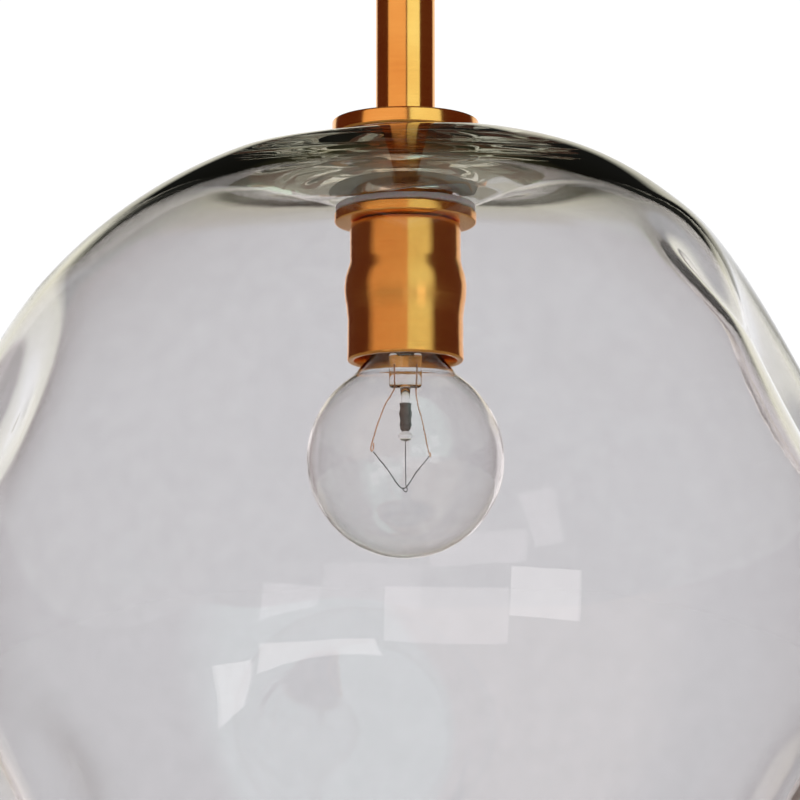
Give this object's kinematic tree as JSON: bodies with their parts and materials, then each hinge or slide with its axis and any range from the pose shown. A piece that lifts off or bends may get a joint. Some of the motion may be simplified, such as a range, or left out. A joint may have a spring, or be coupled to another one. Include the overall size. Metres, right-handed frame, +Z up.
{
  "type": "pendant ceiling light",
  "caption": "Pendant ceiling light: dimpled clear glass globe open at the bottom, brass socket and clamp discs, rigid brass stem, ball swivel and round ceiling canopy.",
  "frame": {"origin": "on the stem's axis, in the ceiling plane that the crossbar and the canopy's rim meet", "axes": "+Z up into the ceiling along the stem, +X along the crossbar, -Y towards the viewer"},
  "size_m": [0.254, 0.2534, 0.5985],
  "materials": {
    "brushed_brass": "brushed, lacquered",
    "zinc_steel": "zinc plated",
    "green_steel": "green dyed",
    "black_rubber": "moulded",
    "white_silicone": "moulded, milky",
    "smoke_glass": "hand blown, fire polished",
    "bulb_glass": "clear, blown",
    "phenolic": "moulded",
    "base_glass": "black, fused",
    "nickelled_brass": "nickel plated",
    "copper_lead": "bare, drawn",
    "tungsten": "drawn",
    "black_insulation": "extruded",
    "white_insulation": "extruded"
  },
  "bodies": {
    "ceiling": {"crossbar": "zinc_steel", "canopy_stud_left": "zinc_steel", "canopy_stud_right": "zinc_steel", "stud_nut_left": "zinc_steel", "stud_nut_right": "zinc_steel", "canopy_knob_left": "brushed_brass", "canopy_knob_right": "brushed_brass", "ground_screw": "green_steel", "canopy": "brushed_brass", "swivel_collar": "brushed_brass", "swivel_collar_nut": "zinc_steel"},
    "swivel": {"swivel_seat": "brushed_brass"},
    "pendant": {"swivel_ball": "brushed_brass", "swivel_ball_nut": "zinc_steel", "swivel_pipe": "zinc_steel", "stem_top_insert": "brushed_brass", "stem_tube": "brushed_brass", "stem_bottom_insert": "brushed_brass", "clamp_pipe": "zinc_steel", "top_washer": "brushed_brass", "top_gasket": "black_rubber", "centring_bush": "brushed_brass", "lower_gasket": "white_silicone", "glass_flange": "brushed_brass", "globe": "smoke_glass", "socket_cup": "brushed_brass", "socket_bracket": "zinc_steel", "lock_washer": "zinc_steel", "clamp_nut": "zinc_steel", "socket_body": "phenolic", "socket_screw_shell": "nickelled_brass", "socket_contact": "nickelled_brass", "terminal_screw_hot": "zinc_steel", "terminal_screw_neutral": "zinc_steel", "wire_hot": "black_insulation", "wire_neutral": "white_insulation"},
    "bulb": {"bulb_envelope": "bulb_glass", "bulb_base_shell": "nickelled_brass", "bulb_base_insulator": "base_glass", "bulb_base_contact": "zinc_steel", "bulb_mount": "bulb_glass", "bulb_getter": "tungsten", "bulb_lead_left": "copper_lead", "bulb_lead_right": "copper_lead", "bulb_support": "tungsten", "bulb_filament": "tungsten"}
  },
  "joints": [
    {"name": "swivel_turn", "type": "hinge", "parent": "ceiling", "child": "swivel", "pos_m": [0, 0, -0.03], "axis": [0, 0, 1], "range_deg": [-170, 170]},
    {"name": "swivel_tilt", "type": "hinge", "parent": "swivel", "child": "pendant", "pos_m": [0, 0, -0.03], "axis": [1, 0, 0], "range_deg": [-30, 30]},
    {"name": "bulb_out", "type": "slide", "parent": "pendant", "child": "bulb", "axis": [0, 0, -1], "range_m": [0, 0.235]}
  ]
}
